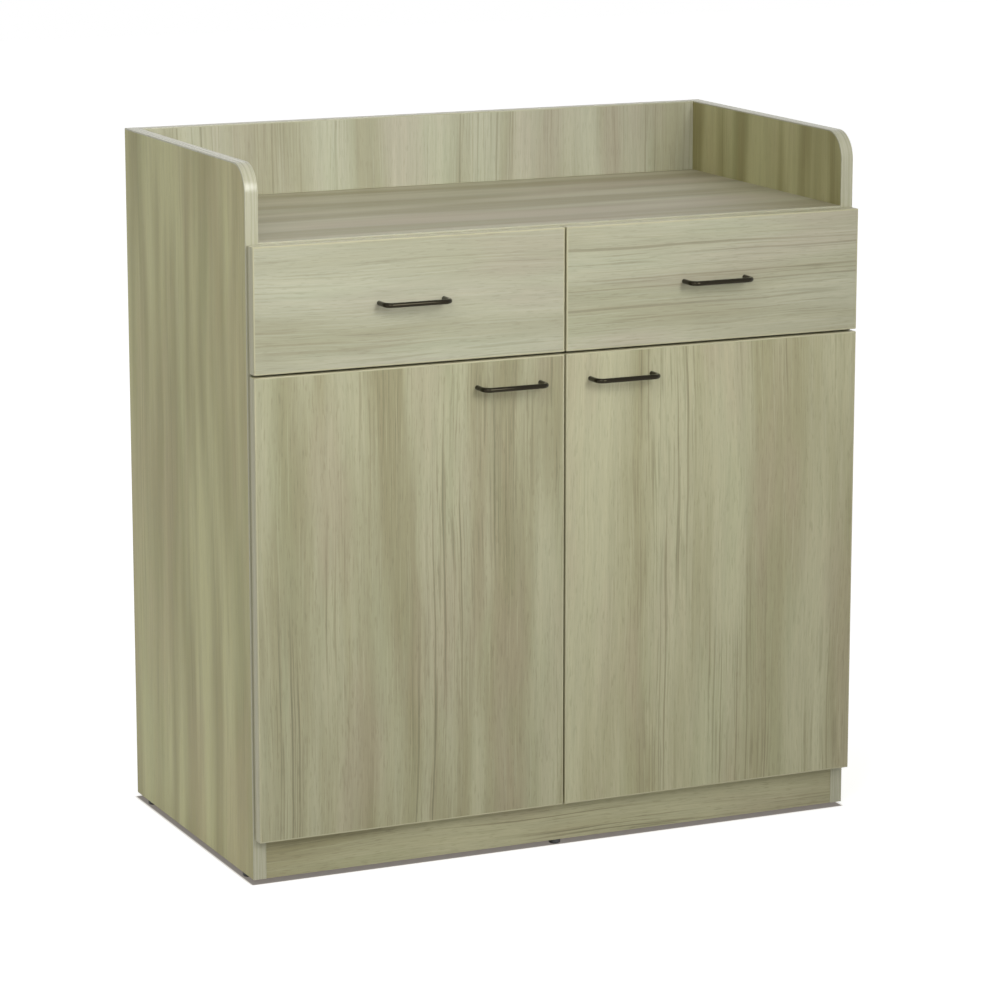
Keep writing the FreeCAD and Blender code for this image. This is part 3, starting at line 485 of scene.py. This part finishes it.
CUT_STEP = (0.61, 0.47, 0.83)  # how much further on in the print the next board is cut, in metres


class STATION_OT_boards(bpy.types.Operator):
    """Wood-print laminate on every board, each cut from its own place in the print"""

    bl_idname = "station.boards"
    bl_label = "Boards"

    def execute(self, context):
        for count, (node, board) in enumerate(BOARDS.items()):
            shift = [step * count for step in CUT_STEP]
            wear(NODES[node], laminate(f"laminate_{node}", shift, *board))
        return {"FINISHED"}


def ring(name, node, sizes):
    """Edging round a front: a strip section carried round a rectangle with rounded corners.

    For a section point (a, b), the loop is the board's rectangle grown by b, with a corner radius
    that grows with b, at depth a.
    """
    low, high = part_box(node)
    middle = (low + high) / 2
    half = np.array([high.x - low.x, high.z - low.z]) / 2 - sizes.strip
    profile = strip_profile(high.y - low.y, sizes.strip, sizes.strip_round)
    quarters = [np.linspace(start, start + 90, CORNER_POINTS) for start in (0, 90, 180, 270)]
    turn = np.radians(np.concatenate(quarters))
    corner = np.repeat([(1, 1), (-1, 1), (-1, -1), (1, -1)], CORNER_POINTS, axis=0)
    grown = half + profile[:, 1][:, None]
    radius = sizes.corner_round * (CORNER_BACK + (1 - CORNER_BACK) * profile[:, 1] / sizes.strip)
    flat = (corner[None] * (grown[:, None] - radius[:, None, None])
            + radius[:, None, None] * np.stack([np.cos(turn), np.sin(turn)], axis=-1)[None])
    points = np.empty((len(turn), len(profile), 3))
    points[..., 0] = middle.x + flat[..., 0].T
    points[..., 1] = middle.y - profile[None, :, 0]
    points[..., 2] = middle.z + flat[..., 1].T
    return mesh_piece(name, points, quads(*points.shape[:2], True))


def side_strip(name, node, sizes):
    """Edging of a side panel: up the front, round the gallery corner and back along the top."""
    low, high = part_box(node)
    inside = sizes.gallery_round - sizes.strip
    centre = (low.y + sizes.gallery_round, high.z - sizes.gallery_round)
    curve = arc(centre, inside, 180, 90, GALLERY_STEPS)
    path = np.concatenate([[(low.y + sizes.strip, low.z)], curve, [(high.y, high.z - sizes.strip)]])
    outward = np.concatenate([[(-1, 0)], (curve - centre) / inside, [(0, 1)]])
    count = len(path)
    places = np.column_stack([np.full(count, (low.x + high.x) / 2), path])
    out = np.column_stack([np.zeros(count), outward])
    across = np.tile((-1.0, 0.0, 0.0), (count, 1))
    profile = strip_profile(high.x - low.x, sizes.strip, sizes.strip_round)
    return carry(name, profile, places, across, out)


def straight_strip(name, node, sizes, out):
    """A straight strip along X, whose rounded face looks along out."""
    low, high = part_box(node)
    out = np.array(out, float)
    back = (np.array(low) + np.array(high)) / 2 - out * sizes.strip / 2
    places = np.tile(back, (2, 1))
    places[:, 0] = (low.x, high.x)
    across = np.cross(out, (1.0, 0.0, 0.0))
    width = abs(np.dot(across, np.array(high - low)))
    profile = strip_profile(width, sizes.strip, sizes.strip_round)
    return carry(name, profile, places, np.tile(across, (2, 1)), np.tile(out, (2, 1)))


class STATION_OT_edging(bpy.types.Operator):
    """Plastic edging round the fronts, up the side panels and along the worktop and the back"""

    bl_idname = "station.edging"
    bl_label = "Edging"

    def execute(self, context):
        sizes = context.scene.station_sizes
        for side in SIDES:
            strip = side_strip(f"edge_of_side_{side}", f"side_edging_{side}", sizes)
            finish(strip, "cabinet", strip_material("X"), f"side_edging_{side}")
            for kind, edging in (("door", "door_edging"), ("drawer", "drawer_front_edging")):
                node = f"{edging}_{side}"
                strip = ring(f"edge_of_{kind}_{side}", node, sizes)
                material = strip_material("Y", "front_edging", gloss=0.15)
                finish(strip, f"{kind}_{side}", material, node)
        strip = straight_strip("edge_of_worktop", "worktop_edging", sizes, (0, -1, 0))
        finish(strip, "cabinet", strip_material("Z"), "worktop_edging")
        strip = straight_strip("edge_of_back", "back_edging", sizes, (0, 0, 1))
        finish(strip, "cabinet", strip_material("Y"), "back_edging")
        wear(NODES["inner_edging_strips"], strip_material("Z"))
        return {"FINISHED"}


# ------------------------------------------------------------------ handles


def bow_handle(name, node, sizes):
    """A circle of the bar's radius carried along a post, a quarter bend, the bar and back.

    The place of step i is on the centre line; the circle's two axes there are the line's own normal
    in the bow's plane, and the upright.
    """
    low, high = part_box(node)
    seat = high.y
    reach = low.y + sizes.rod
    first = low.x + sizes.rod
    last = high.x - sizes.rod
    left = arc((first + sizes.bend, reach + sizes.bend), sizes.bend, 180, 270, BEND_STEPS)
    right = arc((last - sizes.bend, reach + sizes.bend), sizes.bend, 270, 360, BEND_STEPS)
    line = np.concatenate([[(first, seat)], left, right, [(last, seat)]])
    bends = [np.linspace(start, start + 90, BEND_STEPS + 1) for start in (180, 270)]
    turn = np.radians(np.concatenate([[180], *bends, [360]]))
    normal = np.stack([np.cos(turn), np.sin(turn), np.zeros_like(turn)], axis=1)
    places = np.column_stack([line, np.full(len(line), (low.z + high.z) / 2)])
    upright = np.tile((0.0, 0.0, 1.0), (len(line), 1))
    return carry(name, arc((0, 0), sizes.rod, 0, 360, BAR_STEPS)[:-1], places, upright, normal)


class STATION_OT_handles(bpy.types.Operator):
    """Dark bow handles: a round bar bent forwards out of the front and along it"""

    bl_idname = "station.handles"
    bl_label = "Handles"

    def execute(self, context):
        plating = plain("dark_nickel", context.scene.station_colours.handle, rough=0.07, mottle=0.08,
                        scale=220.0, metallic=1.0, coat=0.35)
        for side in SIDES:
            for kind in ("door", "drawer"):
                node = f"{kind}_handle_{side}"
                bow = bow_handle(f"bow_of_{kind}_{side}", node, context.scene.station_sizes)
                finish(bow, f"{kind}_{side}", plating, node)
        return {"FINISHED"}


# ------------------------------------------------------------------ inside and fittings


class STATION_OT_fittings(bpy.types.Operator):
    """Finishes of the drawer boxes, slides, hinges, screws, cam locks, glides and bumpers"""

    bl_idname = "station.fittings"
    bl_label = "Fittings"

    def execute(self, context):
        colours = context.scene.station_colours
        white = plain("box_board", colours.box, rough=0.5, mottle=0.02, scale=300.0, relief=0.02 * MM)
        steel = plain("slide_steel", colours.slide, rough=0.28, mottle=0.05, scale=90.0, metallic=1.0,
                      grain=(1.0, 0.05, 1.0))
        beech = plain("beech", BEECH, rough=0.6, mottle=0.12, scale=200.0)
        black = plain("black_plastic", BLACK_PLASTIC, rough=0.5, mottle=0.1, scale=400.0)
        clear = plain("clear_rubber", CLEAR_RUBBER, rough=0.25, mottle=0.02, scale=60.0, clear=0.6)
        zinc = bpy.data.materials["zinc"]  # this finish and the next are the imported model's own
        nickel = bpy.data.materials["nickel"]
        finishes = {
            "drawer_box_sides": white, "drawer_box_ends": white, "drawer_bottom": white,
            "drawer_screws": zinc, "slide_drawer_members": steel, "slide_middle_members": steel,
            "slide_cabinet_members": steel, "slide_screws": zinc, "cam_locks": zinc, "cam_bolts": zinc,
            "shelf_pins": zinc, "hinge_plates": nickel, "hinge_arms": nickel, "hinge_screws": nickel,
            "hinge_cups": nickel, "outer_hinge_links": nickel, "inner_hinge_links": nickel,
            "door_screws": nickel, "dowels": beech, "floor_glides": black, "door_bumpers": clear,
        }
        for kind, material in finishes.items():
            found = [name for name in (kind, *(f"{kind}_{side}" for side in SIDES)) if name in NODES]
            if not found:
                raise RuntimeError(f"no node of kind {kind}")
            for name in found:
                wear(NODES[name], material)
        return {"FINISHED"}


# ------------------------------------------------------------------ studio

FLOOR_REACH = 12.0
FLOOR_ROUGH = 0.9
PAINTED_SHADOW_LINE = 6 * MM  # reach over the floor of the painted shadow: a dark, warm line along the cabinet's foot
PAINTED_SHADE_REACH = 4 * MM  # reach of the painted shade that darkens the floor there
FLOOR_GREY_AND_PAINTED_SHADE = (0.1, 0.9)  # the floor's grey under the cabinet, darkened there as painted shade, and its own grey from there on
PAINTED_SHADOW_WARMTH = (0.9, 0.8)  # green and blue of the painted shadow's glow along the foot, where red is 1
GLOWS_WITH_PAINTED_SHADOW = (0.19, 0.66)  # strength of the floor's glow under the cabinet, kept low there as painted shadow, and past the line
GLOW_REACH = 400 * MM  # reach over which the glow rises by what is left, to white
GLOW_RISE = 0.04
SENSOR_WIDTH = 36.0  # of the camera, in millimetres

# Each softbox's place, the point that it faces, its two sides, and its spread in degrees.
KEY_BOX = ((0.4, -3.0, 2.4), (-0.26, 0.0, 1.39), (1.55, 1.9), 50.0)
FILL_BOX = ((-1.6, -2.1, 2.1), (-0.4, 0.0, 0.6), (1.2, 1.2), 80.0)


def softbox(name, power, place, aim, sides, spread):
    """A lamp with a rectangular face, turned to the point that it lights."""
    lamp = bpy.data.lights.new(name, "AREA")
    lamp.shape = "RECTANGLE"
    lamp.size, lamp.size_y = sides
    lamp.energy = power
    lamp.spread = math.radians(spread)
    holder = bpy.data.objects.new(name, lamp)
    holder.location = place
    holder.rotation_euler = (Vector(aim) - Vector(place)).to_track_quat("-Z", "Y").to_euler()
    bpy.context.scene.collection.objects.link(holder)


def footprint_distance(paint):
    """Distance on the floor from the cabinet's footprint, which is 0 under the cabinet."""
    low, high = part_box("side_panel_left")
    away = paint.vector("ABSOLUTE", paint.place((0.0, -(low.y + high.y) / 2, 0.0)))
    past = paint.vector("SUBTRACT", away, (FAR.x, (high.y - low.y) / 2, 0.0))
    return paint.vector("LENGTH", paint.vector("MAXIMUM", past))


def lay_floor():
    """A flat floor, which shows white but for the cabinet's shadow and a painted shadow: a dark, warm line
    along the cabinet's foot, over floor painted darker under the cabinet.
    """
    square = np.array([(-1, -1, 0), (1, -1, 0), (1, 1, 0), (-1, 1, 0)], float)
    floor = mesh_piece("studio_floor", square * FLOOR_REACH, [[0, 1, 2, 3]])
    paint = Paint(bpy.data.materials.new("studio_floor"))
    away = footprint_distance(paint)
    # Painted shadow: the floor is painted darker under the cabinet, and its glow is lower and warmer along
    # the cabinet's foot.
    grey_and_painted_shade = paint.spread(away, 0.0, PAINTED_SHADE_REACH, *FLOOR_GREY_AND_PAINTED_SHADE)
    painted_shadow_warmth = [paint.spread(away, 0.0, PAINTED_SHADOW_LINE, least, 1.0) for least in PAINTED_SHADOW_WARMTH]
    glow_with_painted_shadow = paint.sum("ADD", paint.spread(away, 0.0, PAINTED_SHADOW_LINE, *GLOWS_WITH_PAINTED_SHADOW),
                     paint.spread(away, 0.0, GLOW_REACH, 0.0, GLOW_RISE))
    paint.give(
        Base_Color=paint.point(grey_and_painted_shade, grey_and_painted_shade, grey_and_painted_shade),
        Roughness=FLOOR_ROUGH,
        Specular_IOR_Level=0.0,
        Emission_Color=paint.point(1.0, *painted_shadow_warmth),
        Emission_Strength=paint.sum("MULTIPLY", paint.shown(), glow_with_painted_shadow),
    )
    wear(floor, paint.owner)


def light_room(strength):
    """An even white room, which looks white and lights with that strength."""
    room = Paint(bpy.data.worlds.new("studio_room"), "Background")
    room.give(Color=(1.0, 1.0, 1.0, 1.0), Strength=room.spread(room.shown(), 0.0, 1.0, strength, 1.0))
    bpy.context.scene.world = room.owner


def set_camera(studio):
    """The camera, on a line from its aim that its two angles give."""
    turn = studio.azimuth
    rise = studio.elevation
    away = Vector((math.sin(turn) * math.cos(rise), -math.cos(turn) * math.cos(rise), math.sin(rise)))
    lens = bpy.data.cameras.new("camera")
    lens.sensor_width = SENSOR_WIDTH
    lens.lens = studio.focal
    camera = bpy.data.objects.new("camera", lens)
    camera.location = Vector(studio.aim) + away * studio.distance
    camera.rotation_euler = (-away).to_track_quat("-Z", "Y").to_euler()
    bpy.context.scene.collection.objects.link(camera)
    bpy.context.scene.camera = camera


class STATION_OT_studio(bpy.types.Operator):
    """Pale floor, soft studio light and the camera"""

    bl_idname = "station.studio"
    bl_label = "Studio"

    def execute(self, context):
        studio = context.scene.station_studio
        context.scene.view_settings.view_transform = "Standard"
        lay_floor()
        light_room(studio.sky)
        softbox("key_softbox", studio.key, *KEY_BOX)
        softbox("fill_softbox", studio.fill, *FILL_BOX)
        set_camera(studio)
        return {"FINISHED"}


class STATION_PT_panel(bpy.types.Panel):
    """Lists the steps that dress the station"""

    bl_label = "Service Station"
    bl_idname = "STATION_PT_panel"
    bl_space_type = "VIEW_3D"
    bl_region_type = "UI"
    bl_category = "Station"

    def draw(self, context):
        for step in STEPS:
            self.layout.operator(step.bl_idname)
        for group in (getattr(context.scene, name) for name in GROUPS):
            column = self.layout.column()
            for name in group.bl_rna.properties.keys():
                if name not in ("rna_type", "name"):
                    column.prop(group, name)


GROUPS = {"station_sizes": StationSizes, "station_colours": StationColours,
          "station_studio": StudioSettings}
STEPS = (STATION_OT_boards, STATION_OT_edging, STATION_OT_handles, STATION_OT_fittings,
         STATION_OT_studio)


def register():
    for part in (*GROUPS.values(), *STEPS, STATION_PT_panel):
        bpy.utils.register_class(part)
    for name, group in GROUPS.items():
        setattr(bpy.types.Scene, name, bpy.props.PointerProperty(type=group))


def unregister():
    for name in GROUPS:
        delattr(bpy.types.Scene, name)
    for part in (STATION_PT_panel, *reversed(STEPS), *reversed(GROUPS.values())):
        bpy.utils.unregister_class(part)


def main():
    """Dresses the station."""
    register()
    bpy.ops.station.boards()
    bpy.ops.station.edging()
    bpy.ops.station.handles()
    bpy.ops.station.fittings()
    bpy.ops.station.studio()


if __name__ == "__main__":
    main()
